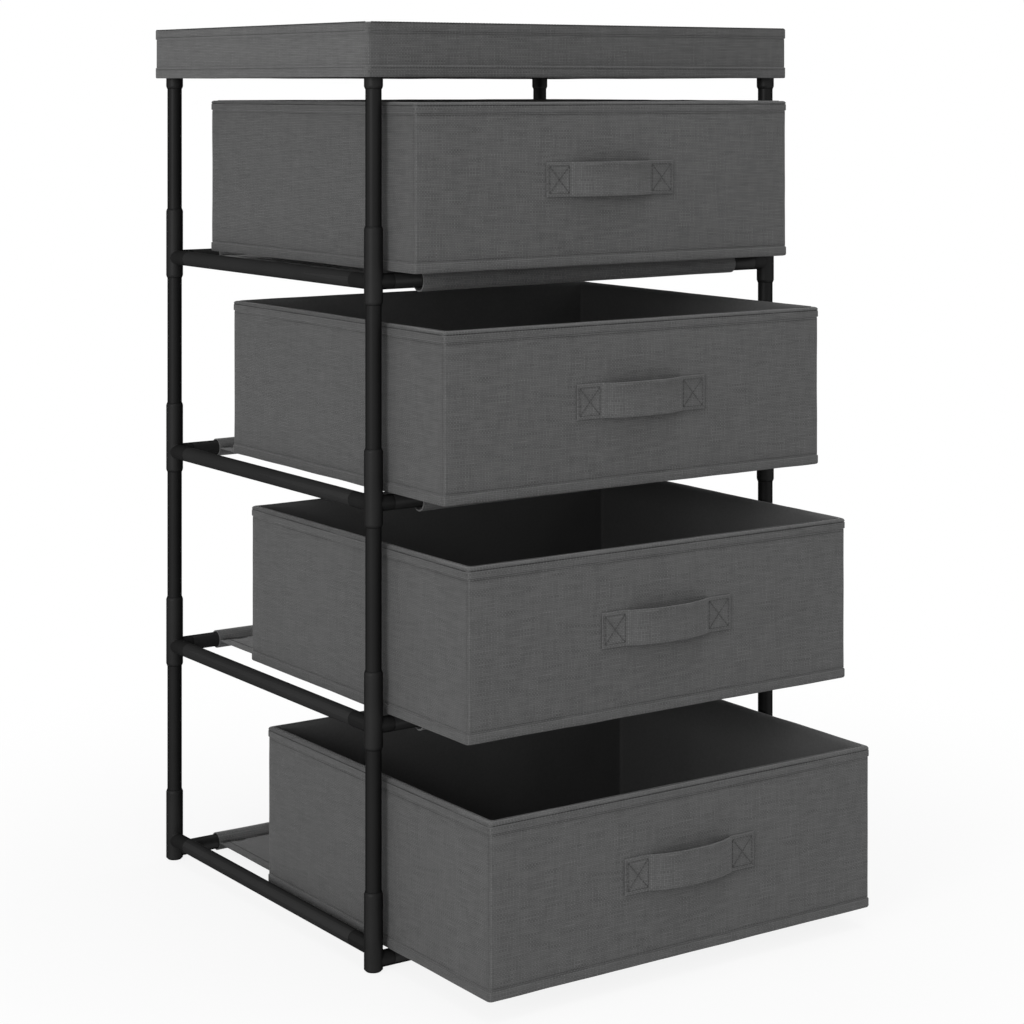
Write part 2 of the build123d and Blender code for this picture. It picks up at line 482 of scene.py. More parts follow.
@dataclass(frozen=True)
class PaintedTube:
    """Black satin paint on steel tube, with the faint unevenness of sprayed powder."""

    finish: Finish
    level: float = 36.0
    drift: float = 3.0
    powder: float = 1.3 * MM
    wave: float = 9 * MM
    patch: float = 60 * MM
    wave_height: float = 0.7
    roughness: float = 0.34
    patch_rougher: float = 0.10
    powder_rougher: float = 0.06
    relief: float = 0.05 * MM

    def make(self) -> None:
        """Builds the material from the place on the object."""
        _, book = new_material(self.finish.value)
        place = book.place()
        powder = book.noise(place, self.powder)
        wave = book.noise(place, self.wave)
        patch = book.noise(place, self.patch, detail=3.0)
        height = powder * (1 - self.wave_height) + wave * self.wave_height
        rougher = patch * self.patch_rougher + powder * self.powder_rougher
        book.surface(
            {
                "Base Color": book.blend(patch, *greys(self.level, self.drift)),
                "Roughness": rougher + self.roughness,
                "Normal": book.bump(height, self.relief),
                **SATIN,
            }
        )


@dataclass(frozen=True)
class MouldedPlastic:
    """Black moulded plastic with a fine grain, rounded where the arms leave the sleeve."""

    finish: Finish
    darkest: float = 38.0
    lightest: float = 45.0
    grain: float = 0.7 * MM
    flow: float = 24 * MM
    root_radius: float = 1.6 * MM
    roughness: float = 0.36
    flow_rougher: float = 0.12
    grain_rougher: float = 0.08
    relief: float = 0.04 * MM

    def make(self) -> None:
        """Builds the material from the place on the object."""
        _, book = new_material(self.finish.value)
        place = book.place()
        grain = book.noise(place, self.grain, detail=3.0)
        flow = book.noise(place, self.flow)
        rounded = book.add("ShaderNodeBevel", {"Radius": self.root_radius}, samples=6)
        rougher = flow * self.flow_rougher + grain * self.grain_rougher
        book.surface(
            {
                "Base Color": book.blend(flow, grey(self.darkest), grey(self.lightest)),
                "Roughness": rougher + self.roughness,
                "Normal": book.bump(grain, self.relief, normal=rounded),
                **SATIN,
            }
        )


@dataclass(frozen=True)
class GreyBoard:
    """Pressed grey board, with flecks of fibre."""

    finish: Finish
    fleck: float = 1.5 * MM
    fleck_edge: tuple[float, float] = (0.35, 0.7)
    dark: tuple[float, float] = (118.0, 5.0)
    light: tuple[float, float] = (158.0, 7.0)
    relief: float = 0.1 * MM

    def make(self) -> None:
        """Builds the material from the place on the object."""
        _, book = new_material(self.finish.value)
        fleck = book.noise(book.place(), self.fleck, detail=4.0)
        share = fleck.between(*self.fleck_edge)
        book.surface(
            {
                "Base Color": book.blend(share, grey(*self.dark), grey(*self.light)),
                "Roughness": 0.9,
                "Normal": book.bump(fleck, self.relief),
            }
        )


# Making meshes


def leave_alone() -> None:
    """Goes back to object mode with nothing selected."""
    if bpy.context.object is not None and bpy.context.object.mode != "OBJECT":
        bpy.ops.object.mode_set(mode="OBJECT")
    bpy.ops.object.select_all(action="DESELECT")


def make_active(*objects: Piece) -> None:
    """Selects objects alone and makes the first the active one.

    Args:
        objects: The objects.
    """
    leave_alone()
    for obj in objects:
        obj.select_set(True)
    bpy.context.view_layer.objects.active = objects[0]


def settle(name: str) -> Piece:
    """Names the object that was just added and puts its place into its mesh.

    Args:
        name: The object's name.

    Returns:
        The object, at the origin, unturned and unscaled.
    """
    obj = bpy.context.active_object
    obj.name = name
    obj.data.name = name
    bpy.ops.object.transform_apply(location=True, rotation=True, scale=True)
    return obj


def start_sheet(name: str, centre: Vector, size: tuple[float, float], tilt: float = 0.0) -> Piece:
    """Starts a piece as a flat rectangle.

    Args:
        name: The piece's name.
        centre: Its middle.
        size: Its width along X and its length.
        tilt: How far it is turned up about X; 0 lies flat.

    Returns:
        The object.
    """
    leave_alone()
    bpy.ops.mesh.primitive_plane_add(size=1, location=centre, rotation=(tilt, 0, 0))
    bpy.context.active_object.scale = (*size, 1)
    return settle(name)


def copied(obj: Piece, name: str, move: Vector) -> Piece:
    """Copies a piece with its own mesh.

    Args:
        obj: The piece.
        name: The copy's name.
        move: How far the copy stands from it.

    Returns:
        The copy.
    """
    make_active(obj)
    bpy.ops.object.duplicate(linked=False)
    bpy.context.active_object.location = move
    return settle(name)


def apply_modifier(obj: Piece, kind: str, **settings: object) -> None:
    """Adds a modifier and applies it at once.

    Args:
        obj: The piece.
        kind: The modifier's type.
        settings: Its settings.
    """
    make_active(obj)
    modifier = obj.modifiers.new(kind.lower(), kind)
    for name, value in settings.items():
        setattr(modifier, name, value)
    bpy.ops.object.modifier_apply(modifier=modifier.name)


def strips(low: float, high: float, count: int) -> list[float]:
    """Even places between two others, without the two themselves.

    Args:
        low: The first place.
        high: The last place.
        count: The number of strips.

    Returns:
        The places.
    """
    return [low + (high - low) * index / count for index in range(1, count)]


def raised(profile: Profile, height: float) -> Points:
    """Sets a profile in millimetres at a height in metres."""
    return [(inward * MM, height + rise * MM) for inward, rise in profile]


class Shaping:
    """A mesh in edit mode, shaped with operators on what a test picks."""

    def __init__(self, obj: Piece) -> None:
        """Takes the mesh to be shaped."""
        self.obj = obj

    def __enter__(self) -> "Shaping":
        """Opens edit mode with nothing picked.

        Returns:
            This shaping.
        """
        make_active(self.obj)
        bpy.ops.object.mode_set(mode="EDIT")
        bpy.ops.mesh.select_all(action="DESELECT")
        return self

    def __exit__(self, *_: object) -> None:
        """Closes edit mode."""
        bpy.ops.object.mode_set(mode="OBJECT")

    def pick(self, part: Part, test: Callable[[object], bool]) -> "Shaping":
        """Picks faces, edges or corners.

        Args:
            part: What is picked.
            test: Says of each one whether it is.

        Returns:
            This shaping.
        """
        bpy.ops.mesh.select_mode(type=part.value)
        bpy.ops.mesh.select_all(action="DESELECT")
        mesh = bmesh.from_edit_mesh(self.obj.data)
        mesh.normal_update()
        family = {Part.FACES: mesh.faces, Part.EDGES: mesh.edges, Part.CORNERS: mesh.verts}[part]
        for element in family:
            if test(element):
                element.select_set(True)
        mesh.select_flush_mode()
        bmesh.update_edit_mesh(self.obj.data)
        return self

    def everything(self) -> None:
        """Picks the whole mesh."""
        bpy.ops.mesh.select_all(action="SELECT")

    def follow(self, outline: Vector, points: Points) -> None:
        """Extrudes the picked closed loop along a cross-section.

        Args:
            outline: The full width and depth that the cross-section is measured in from.
            points: For the loop itself and each new one, how far it lies inside the full outline,
                and its height.
        """
        mesh = bmesh.from_edit_mesh(self.obj.data)
        loop = [corner.co for corner in mesh.verts if corner.select]
        middle = [(min(co[a] for co in loop) + max(co[a] for co in loop)) / 2 for a in (0, 1)]
        for (inward, height), (next_inward, next_height) in zip(points, points[1:]):
            move = {"value": (0, 0, next_height - height)}
            bpy.ops.mesh.extrude_edges_move(TRANSFORM_OT_translate=move)
            scale = [(outline[a] - 2 * next_inward) / (outline[a] - 2 * inward) for a in (0, 1)]
            bpy.ops.transform.resize(value=(*scale, 1), center_override=(*middle, next_height))

    def cut(self, axis: int, *places: float) -> None:
        """Cuts the whole mesh with planes square to an axis, and keeps both sides.

        Args:
            axis: 0, 1 or 2.
            places: Where on the axis.
        """
        for place in places:
            self.everything()
            point, normal = [0.0] * 3, [0.0] * 3
            point[axis], normal[axis] = place, 1.0
            bpy.ops.mesh.bisect(plane_co=point, plane_no=normal, threshold=1e-7)

    def face_out(self, way: Vector | None = None) -> None:
        """Makes the faces agree, and turns them over if they look inwards.

        Args:
            way: The way out. Without it, out is away from the middle of the mesh.
        """
        self.everything()
        bpy.ops.mesh.normals_make_consistent(inside=False)
        faces = bmesh.from_edit_mesh(self.obj.data).faces
        middle = sum((face.calc_center_median() for face in faces), Vector()) / len(faces)
        if sum(f.normal.dot(way or f.calc_center_median() - middle) for f in faces) < 0:
            bpy.ops.mesh.flip_normals()

    def map_cloth(self) -> None:
        """Gives every face a flat place in metres, from the side that it faces."""
        self.everything()
        bpy.ops.uv.cube_project(cube_size=1.0, correct_aspect=False)


def walled(
    name: str,
    low: Vector,
    high: Vector,
    points: Points,
    corner: float,
    margin: float,
    grid: tuple[int, int],
    open_end: bool = False,
) -> Piece:
    """Models a sheet with four walls, drawn along a cross-section from a flat floor or top.

    Args:
        name: The piece's name.
        low: The lowest corner of its outline.
        high: The highest corner of its outline.
        points: The cross-section from the flat part's edge on: inward distances and heights.
        corner: The radius of the flat part's corners.
        margin: How far inside the outline the strips begin and end.
        grid: The number of strips along X and along Y.
        open_end: Whether the flat part is taken away again.

    Returns:
        The piece.
    """
    inset = Vector((points[0][0], points[0][0], 0))
    start, end = low + inset, high - inset
    middle = Vector(((start.x + end.x) / 2, (start.y + end.y) / 2, points[0][1]))
    sheet = start_sheet(name, middle, (end.x - start.x, end.y - start.y))
    with Shaping(sheet) as shape:
        shape.everything()
        bpy.ops.mesh.bevel(offset=corner, segments=4, profile=0.5, affect="VERTICES")
        shape.pick(Part.EDGES, lambda edge: edge.is_boundary).follow(high - low, points)
        if open_end:
            flat = points[0][1] + TOUCH
            shape.pick(Part.FACES, lambda face: face.calc_center_median().z < flat)
            bpy.ops.mesh.delete(type="FACE")
        for axis, count in enumerate(grid):
            shape.cut(axis, *strips(low[axis] + margin, high[axis] - margin, count))
        shape.face_out()
    return sheet


def smooth(obj: Piece, degrees: float = 38.0) -> None:
    """Shades a piece smooth over all but its sharper edges.

    Args:
        obj: The piece.
        degrees: The least angle that stays sharp.
    """
    make_active(obj)
    bpy.ops.object.shade_smooth_by_angle(angle=math.radians(degrees))


def make_cloth(
    sheet: Piece, wave_size: float, wave_travel: float, thickness: float, offset: float = -1.0
) -> None:
    """Makes a sheet into cloth: maps it, makes it softly uneven, and gives it its thickness.

    Args:
        sheet: The piece.
        wave_size: The size of its waves.
        wave_travel: Their whole travel in and out.
        thickness: The cloth's thickness.
        offset: -1 puts the thickness inside the sheet, 0 on both sides of it.
    """
    with Shaping(sheet) as shape:
        shape.map_cloth()
    cloud = bpy.data.textures.new("cloth_waves", "CLOUDS")
    cloud.noise_scale = wave_size
    cloud.noise_depth = 1
    waves = {"texture": cloud, "texture_coords": "LOCAL", "strength": wave_travel, "mid_level": 0.5}
    apply_modifier(sheet, "DISPLACE", **waves)
    apply_modifier(sheet, "SOLIDIFY", thickness=thickness, offset=offset)
    smooth(sheet)


def dress(piece: Piece, finish: Finish, body: str, node: str | None = None) -> None:
    """Gives a piece its finish and its body, and hides the CAD node that it stands for.

    Args:
        piece: The piece.
        finish: Its finish.
        body: The body that it moves with.
        node: The CAD node that it replaces.
    """
    piece.data.materials.clear()
    piece.data.materials.append(finish.material())
    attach(piece, body)
    if node is not None:
        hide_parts(node)
    log.info("%s: %d faces, on %s", piece.name, len(piece.data.polygons), body)


# Sewing


@dataclass(frozen=True)
class Hems:
    """A wall's two proud hems and the cloth between them, which lies a step further in.

    Each seam lies on that cloth, beyond the hem's edge, or where it is negative, on the hem.
    """

    bottom: float
    top: float
    seam: float
    groove: float
    panel_strips: int
    step: float = 0.6 * MM
    turn: float = 0.15 * MM
    dip: float = 0.3 * MM
    flat: float = 1.0 * MM

    def _edge(self, height: float, side: int) -> Points:
        """The cross-section where a hem ends and the cloth goes on.

        Args:
            height: The hem's edge.
            side: 1 where the cloth goes on above it, -1 where it goes on below.

        Returns:
            Inward distances and heights, from low to high.
        """
        points = [
            (0.0, height - side * self.step),
            (self.turn, height - side * self.turn),
            (self.step + self.groove, height + side * self.dip),
            (self.step, height + side * self.flat),
        ]
        return points[::side]

    def wall(self, low: float, high: float) -> Points:
        """The wall's cross-section, from its lower edge to its upper.

        Args:
            low: The height of the lower edge.
            high: The height of the upper edge.

        Returns:
            Inward distances and heights.
        """
        below, above = self._edge(low + self.bottom, 1), self._edge(high - self.top, -1)
        panel = strips(below[-1][1], above[0][1], self.panel_strips)
        return below + [(self.step, z) for z in panel] + above

    def seams(self, low: float, high: float) -> tuple[float, float]:
        """The heights of the two seams of a wall."""
        return low + self.bottom + self.seam, high - self.top - self.seam


@dataclass
class Seam:
    """Rows of single stitches, each a short flattened thread."""

    length: float = 2.1 * MM
    pitch: float = 3.0 * MM
    radius: float = 0.27 * MM
    sides: int = 6
    proud: float = 0.25
    tip_inset: float = 0.45
    tip_length: float = 0.6
    end_least: float = 0.9
    sharp: float = 60.0
    rows: list[Piece] = field(default_factory=list)

    def row(self, start: Vector, end: Vector, outward: Vector) -> None:
        """Sews one straight row.

        Args:
            start: Where it starts, on the cloth.
            end: Where it ends.
            outward: The side of the cloth that it shows on.
        """
        run = end - start
        count = max(1, int(run.length / self.pitch))
        step = run / count
        leave_alone()
        bpy.ops.mesh.primitive_cylinder_add(
            vertices=self.sides,
            radius=self.radius,
            depth=self.length,
            location=start + step / 2 + outward * self.radius * self.proud,
            rotation=run.to_track_quat("Z", "Y").to_euler(),
        )
        stitch = settle("stitch")
        along = run.normalized()
        with Shaping(stitch) as shape:
            shape.pick(Part.FACES, lambda face: abs(face.normal.dot(along)) > self.end_least)
            inset, depth = self.radius * self.tip_inset, self.radius * self.tip_length
            bpy.ops.mesh.inset(thickness=inset, depth=depth)
        if count > 1:
            apply_modifier(
                stitch,
                "ARRAY",
                count=count,
                use_relative_offset=False,
                use_constant_offset=True,
                constant_offset_displace=step,
            )
        self.rows.append(stitch)

    def round_row(
        self, low: Vector, high: Vector, height: float, inward: float, corner: float
    ) -> None:
        """Sews a level row along all four walls.

        Args:
            low: The lowest corner of what is sewn.
            high: Its highest corner.
            height: The row's height.
            inward: How far the row lies inside the walls' faces.
            corner: How far from each corner the row ends.
        """
        left, right, front, back = low.x + corner, high.x - corner, low.y + corner, high.y - corner
        for side, edge in ((-1, low), (1, high)):
            x, y = edge.x - side * inward, edge.y - side * inward
            out_y, out_x = Vector((0, side, 0)), Vector((side, 0, 0))
            self.row(Vector((left, y, height)), Vector((right, y, height)), out_y)
            self.row(Vector((x, front, height)), Vector((x, back, height)), out_x)

    def crossed_box(self, centre: Vector, width: float, height: float, outward: Vector) -> None:
        """Sews an upright rectangle with both its diagonals.

        Args:
            centre: Its middle.
            width: Its width along X.
            height: Its height.
            outward: The side that it shows on.
        """
        across, up = Vector((width / 2, 0, 0)), Vector((0, 0, height / 2))
        corners = [centre + side * across + end * up for end in (-1, 1) for side in (-1, 1)]
        for start, end in ((0, 1), (2, 3), (0, 2), (1, 3), (0, 3), (1, 2)):
            self.row(corners[start], corners[end], outward)

    def finished(self, name: str) -> Piece:
        """Joins the rows into one piece.

        Args:
            name: The piece's name.

        Returns:
            The piece.
        """
        make_active(*self.rows)
        bpy.ops.object.join()
        piece = settle(name)
        smooth(piece, self.sharp)
        return piece


# Sub-assemblies


@dataclass
class Basket:
    """A lined fabric basket: outer cloth over boards, a folded rim, hems, stitches and a handle."""

    FOOT: ClassVar[Profile] = ((1.5, 0.0), (0.5, 0.3), (0.0, 1.3), (0.0, 4.0))
    RIM: ClassVar[Profile] = (
        (0.0, -5.0), (0.0, -3.3), (0.55, -2.7), (0.05, -2.1), (0.15, -1.4), (0.7, -0.5),
        (1.7, -0.05), (3.2, 0.0), (4.6, -0.2), (5.6, -0.9), (6.0, -2.0), (6.0, -5.0),
    )
    LINING_RIM: ClassVar[Profile] = (
        (7.5, -4.0), (7.4, -2.4), (6.8, -1.3), (5.9, -0.75), (4.9, -0.5), (4.2, -0.45),
    )

    hems: Hems = Hems(7.8 * MM, 8.5 * MM, seam=1.9 * MM, groove=0.3 * MM, panel_strips=16)
    corner: float = 3.0 * MM
    grid: tuple[int, int] = (46, 42)
    cloth: float = 0.9 * MM
    wave_size: float = 45 * MM
    wave_travel: float = 0.7 * MM
    rim_seam_drop: float = 2.7 * MM
    rim_seam_inset: float = 0.35 * MM
    lining: float = 0.8 * MM
    lining_corner: float = 3.5 * MM
    lining_face: float = 7.5 * MM
    lining_grid: tuple[int, int] = (24, 22)
    lining_rows: int = 10
    lining_wave_size: float = 50 * MM
    lining_wave_travel: float = 0.5 * MM
    side_least: float = 0.75
    front_least: float = 0.5
    strap_patch: float = 23.5 * MM
    strap_cloth: float = 1.5 * MM
    strap_hem: float = 2.6 * MM
    strap_hem_edge: float = 0.5 * MM
    strap_hem_depth: float = 0.28 * MM
    strap_round: float = 0.45 * MM
    strap_steps: int = 28
    strap_power: float = 2.6
    strap_sharp: float = 30.0
    box_inset: float = 0.4 * MM
    box_shift: float = 0.6 * MM
    thread_sink: float = 0.2 * MM

    def build_shell(self) -> Piece:
        """Models the outer cloth of the first basket, from the floor up.

        Returns:
            The piece, without thickness.
        """
        low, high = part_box("basket_1_body")
        wall = self.hems.wall(low.z, high.z)
        points = raised(self.FOOT, low.z) + wall + raised(self.RIM, high.z)
        return walled("basket_1_shell", low, high, points, self.corner, self.corner, self.grid)

    def build_lining(self) -> Piece:
        """Models the black lining of the first basket, from the floor up and over the rim.

        Returns:
            The piece, without thickness.
        """
        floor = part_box("basket_1_lining")[0].z
        low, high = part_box("basket_1_body")
        rim = raised(self.LINING_RIM, high.z)
        rows = (floor, *strips(floor, rim[0][1], self.lining_rows))
        return walled(
            "basket_1_lining_cloth",
            low,
            high,
            [(self.lining_face, z) for z in rows] + rim,
            self.lining_corner,
            self.lining_face + self.lining_corner,
            self.lining_grid,
            open_end=True,
        )

    def build_handle(self) -> Piece:
        """Models the strap handle of the first basket, sewn flat at its ends and bowed between.

        Returns:
            The piece.
        """
        low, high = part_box("basket_1_handle")
        patch_end = low.x + self.strap_patch - TOUCH
        hem_low, hem_high = low.z + self.strap_hem, high.z - self.strap_hem
        strap = start_sheet(
            "basket_1_strap",
            Vector((low.x + self.strap_patch / 2, high.y, (low.z + high.z) / 2)),
            (self.strap_patch, high.z - low.z),
            math.pi / 2,
        )
        steps = self._bow(high.x - self.strap_patch, high.y - low.y - self.strap_cloth)
        with Shaping(strap) as shape:
            shape.pick(Part.EDGES, lambda edge: all(v.co.x > patch_end for v in edge.verts))
            for step_x, step_y in (*steps, (self.strap_patch, 0)):
                move = {"value": (step_x, step_y, 0)}
                bpy.ops.mesh.extrude_region_move(TRANSFORM_OT_translate=move)
            shape.cut(2, hem_low, hem_high)
            shape.face_out(Vector((0, -1, 0)))
        apply_modifier(strap, "SOLIDIFY", thickness=self.strap_cloth, offset=1.0)
        with Shaping(strap) as shape:
            shape.pick(
                Part.FACES,
                lambda face: face.normal.y < -self.front_least
                and hem_low < face.calc_center_median().z < hem_high,
            )
            bpy.ops.mesh.inset(thickness=self.strap_hem_edge, depth=-self.strap_hem_depth)
        rounding = {"width": self.strap_round, "segments": 2}
        apply_modifier(strap, "BEVEL", limit_method="ANGLE", angle_limit=1.2, **rounding)
        with Shaping(strap) as shape:
            shape.map_cloth()
        smooth(strap, self.strap_sharp)
        return strap

    def _bow(self, half: float, rise: float) -> Points:
        """The steps along the strap's bow, which is flatter in its middle than at its ends.

        Args:
            half: Half of its span.
            rise: How far its middle stands out.

        Returns:
            Each step across and outwards.
        """
        shares = [2 * index / self.strap_steps - 1 for index in range(self.strap_steps + 1)]
        points = [(half * s, -rise * (1 - abs(s) ** self.strap_power)) for s in shares]
        return [(b[0] - a[0], b[1] - a[1]) for a, b in zip(points, points[1:])]

    def sew_rim(self) -> Piece:
        """Sews the dark row under the first basket's rim.

        Returns:
            The stitches.
        """
        low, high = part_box("basket_1_body")
        seam = Seam(length=2.0 * MM, pitch=2.9 * MM, radius=0.34 * MM)
        seam.round_row(low, high, high.z - self.rim_seam_drop, self.rim_seam_inset, self.corner)
        return seam.finished("basket_1_rim_stitches")

    def sew(self) -> Piece:
        """Sews the first basket's hems, and a crossed box through each end of its handle.

        Returns:
            The stitches.
        """
        low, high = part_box("basket_1_body")
        seam = Seam()
        for height in self.hems.seams(low.z, high.z):
            seam.round_row(low, high, height, self.hems.step, self.corner)
        low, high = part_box("basket_1_handle")
        inset = self.strap_hem + self.box_inset
        width, height = self.strap_patch - inset, high.z - low.z - 2 * inset
        y, z = high.y - self.strap_cloth + self.thread_sink, (low.z + high.z) / 2
        for side in (-1, 1):
            x = side * (high.x - self.strap_patch / 2 - inset / 2 + self.box_shift)
            seam.crossed_box(Vector((x, y, z)), width, height, Vector((0, -1, 0)))
        return seam.finished("basket_1_stitches")

    def build(self) -> None:
        """Models one basket and copies it to the others' places."""
        models = {
            "shell": self.build_shell(),
            "lining_cloth": self.build_lining(),
            "strap": self.build_handle(),
            "stitches": self.sew(),
            "rim_stitches": self.sew_rim(),
        }
        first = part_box("basket_1_body")[0]
        for number in reversed(BASKETS):
            body = f"basket_{number}"
            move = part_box(f"{body}_body")[0] - first
            pieces = models
            if number > 1:
                pieces = {n: copied(model, f"{body}_{n}", move) for n, model in models.items()}
            self.dress_one(pieces, body)

    def dress_one(self, pieces: dict[str, Piece], body: str) -> None:
        """Makes one basket's sheets into cloth, and dresses all its pieces.

        Args:
            pieces: Its pieces, by what they are.
            body: Its body.
        """
        shell, lining = pieces["shell"], pieces["lining_cloth"]
        make_cloth(shell, self.wave_size, self.wave_travel, self.cloth)
        make_cloth(lining, self.lining_wave_size, self.lining_wave_travel, self.lining)
        dress(shell, Finish.BASKET, body, f"{body}_body")
        # The faces that look left and right take the darker copy of the cloth: painted shade on the
        # basket's sides.
        shell.data.materials.append(Finish.BASKET_SIDE.material())
        with Shaping(shell) as shape:
            shape.pick(Part.FACES, lambda face: abs(face.normal.x) > self.side_least)
            shell.active_material_index = 1
            bpy.ops.object.material_slot_assign()
        dress(lining, Finish.LINING, body, f"{body}_lining")
        dress(pieces["strap"], Finish.BASKET, body, f"{body}_handle")
        dress(pieces["stitches"], Finish.THREAD, body)
        dress(pieces["rim_stitches"], Finish.EDGE_THREAD, body)


@dataclass
class Cover:
    """The fabric cover: a flat top with a turned-down skirt between two proud hems."""

    EDGE: ClassVar[Profile] = ((3.2, 0.0), (1.1, -0.05), (0.35, -0.4), (0.0, -1.2), (0.0, -3.5))
    FOLD: ClassVar[Profile] = (
        (0.0, 2.6), (0.05, 0.7), (0.5, 0.05), (1.2, 0.3), (1.6, 1.5), (1.7, 9.0),
    )

    hems: Hems = Hems(9.6 * MM, 9.0 * MM, seam=-1.7 * MM, groove=0.25 * MM, panel_strips=5)
    corner: float = 3.5 * MM
    grid: tuple[int, int] = (52, 44)
    cloth: float = 1.2 * MM
    wave_size: float = 45 * MM
    wave_travel: float = 0.5 * MM
    edge_inset: float = 0.35 * MM

    def build(self) -> None:
        """Models the cover and its seams."""
        low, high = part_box("fabric_cover")
        skirt = self.hems.wall(low.z, high.z)[::-1]
        points = raised(self.EDGE, high.z) + skirt + raised(self.FOLD, low.z)
        cover = walled("cover_cloth", low, high, points, self.corner, self.corner, self.grid)
        make_cloth(cover, self.wave_size, self.wave_travel, self.cloth)
        dress(cover, Finish.COVER, "rack", "fabric_cover")
        hems = Seam()
        for height in self.hems.seams(low.z, high.z):
            hems.round_row(low, high, height, 0.0, self.corner)
        dress(hems.finished("cover_stitches"), Finish.THREAD, "rack")
        edge = Seam(length=2.3 * MM, radius=0.55 * MM)
        edge.round_row(low, high, high.z - self.edge_inset, self.edge_inset, self.corner)
        dress(edge.finished("cover_edge_stitches"), Finish.EDGE_THREAD, "rack")


@dataclass
class ShelfSheet:
    """A stretched fabric shelf with a sleeve round the front and the back rail."""

    number: int
    cloth: float = 1.1 * MM
    hem_width: float = 10.0 * MM
    sleeve_steps: int = 24
    grid: tuple[int, int] = (24, 30)
    sag: float = 0.6 * MM
    wave_size: float = 70 * MM
    slack: float = 2.0 * MM
    left_more: float = 0.8 * MM
    right_less: float = 6.5 * MM
    sleeve_seam: float = 3 * MM
    seam_end: float = 2 * MM
    hem_seam: float = 1.5 * MM
    thread_lift: float = 0.2 * MM
    low: Vector = field(init=False)
    high: Vector = field(init=False)
    radius: float = field(init=False)
    axis_z: float = field(init=False)
    rails_y: tuple[float, float] = field(init=False)

    def __post_init__(self) -> None:
        """Takes the sheet's place and the rails' from its CAD node."""
        low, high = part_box(f"shelf_sheet_{self.number}")
        low.x, high.x = low.x - self.left_more, high.x - self.right_less
        half = (high.z - low.z) / 2
        self.low, self.high = low, high
        self.radius = half - self.cloth / 2
        self.axis_z = (low.z + high.z) / 2
        self.rails_y = (low.y + half, high.y - half)

    def build_sheet(self, name: str, slack: float) -> Piece:
        """Models the stretch between the rails and the sleeves round them.

        Args:
            name: The piece's name.
            slack: How much lower the front sleeve hangs at its left end.

        Returns:
            The piece, without thickness.
        """
        low, high, radius, axis_z = self.low, self.high, self.radius, self.axis_z
        front_y, back_y = self.rails_y
        width = high.x - low.x
        centre = Vector(((low.x + high.x) / 2, (front_y + back_y) / 2, axis_z))
        sheet = start_sheet(name, centre, (width, back_y - front_y - 2 * radius))
        with Shaping(sheet) as shape:
            shape.cut(1, *strips(front_y + radius, back_y - radius, self.grid[1]))
            for rail_y, side in ((front_y, 1), (back_y, -1)):
                edge_y = rail_y + side * radius
                shape.pick(
                    Part.EDGES,
                    lambda edge: all(abs(v.co.y - edge_y) < TOUCH for v in edge.verts),
                )
                bpy.ops.mesh.spin(
                    steps=self.sleeve_steps,
                    angle=side * math.tau,
                    center=(0, rail_y, axis_z),
                    axis=(1, 0, 0),
                )
            shape.everything()
            bpy.ops.mesh.remove_doubles(threshold=TOUCH)
            shape.pick(Part.CORNERS, lambda v: v.co.z < axis_z - TOUCH and v.co.y < 0)
            bpy.ops.transform.rotate(
                value=slack / width,
                orient_axis="Y",
                orient_type="GLOBAL",
                center_override=(high.x, 0, axis_z),
            )
            hem_left, hem_right = low.x + self.hem_width, high.x - self.hem_width
            shape.cut(0, hem_left, hem_right, *strips(hem_left, hem_right, self.grid[0]))
        return sheet

    def sew(self) -> Piece:
        """Sews along both sleeves and both side hems.

        Returns:
            The stitches.
        """
        seam = Seam()
        up, top = Vector((0, 0, 1)), self.axis_z + self.cloth / 2 + self.thread_lift
        left, right = self.low.x, self.high.x
        front, back = self.rails_y[0] + self.radius, self.rails_y[1] - self.radius
        for y in (front + self.sleeve_seam, back - self.sleeve_seam):
            start, end = left + self.seam_end, right - self.seam_end
            seam.row(Vector((start, y, top)), Vector((end, y, top)), up)
        hem = self.hem_width - self.hem_seam
        for x in (left + hem, right - hem):
            seam.row(Vector((x, front, top)), Vector((x, back, top)), up)
        return seam.finished(f"shelf_{self.number}_stitches")

    def build(self) -> None:
        """Models one shelf and its seams, and works out the length of flat cloth that it was cut
        from.
        """
        slack = min(self.slack, self.low.z - self.sag / 2)
        sheet = self.build_sheet(f"shelf_{self.number}_cloth", slack)
        make_cloth(sheet, self.wave_size, self.sag, self.cloth, offset=0.0)
        dress(sheet, Finish.SHELF, "rack", f"shelf_sheet_{self.number}")
        stitches = self.sew()
        dress(stitches, Finish.THREAD, "rack")
        straight = self.rails_y[1] - self.rails_y[0] - 2 * self.radius
        slack_half = math.pi * math.sqrt((self.radius**2 + (self.radius + slack / 2) ** 2) / 2)
        flat_length = straight + 3 * math.pi * self.radius + slack_half


@dataclass
class Frame:
    """The carried-over tubes, fittings and boards, which keep their CAD shape."""

    fitted_levels: tuple[int, ...] = (1, 2, 3)

    def finish(self) -> None:
        """Gives each CAD node its finish."""
        fittings = [f"corner_fittings_{level}" for level in self.fitted_levels]
        nodes = {
            Finish.BOARD: ["top_board", *(f"basket_{n}_wall_boards" for n in BASKETS)],
            Finish.PLASTIC: ["top_fittings", "foot_fittings", *fittings],
            Finish.POST: [f"post_tubes_{corner}" for corner in CORNERS],
            Finish.RAIL: [f"{way}_rails_{level}" for way in ("side", "cross") for level in LEVELS],
            Finish.LINING: [f"basket_{n}_base_board" for n in BASKETS],
        }
        for finish, names in nodes.items():
            for name in names:
                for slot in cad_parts[name].material_slots:
                    slot.material = finish.material()
                log.info("%s: finished with %s", name, finish.value)


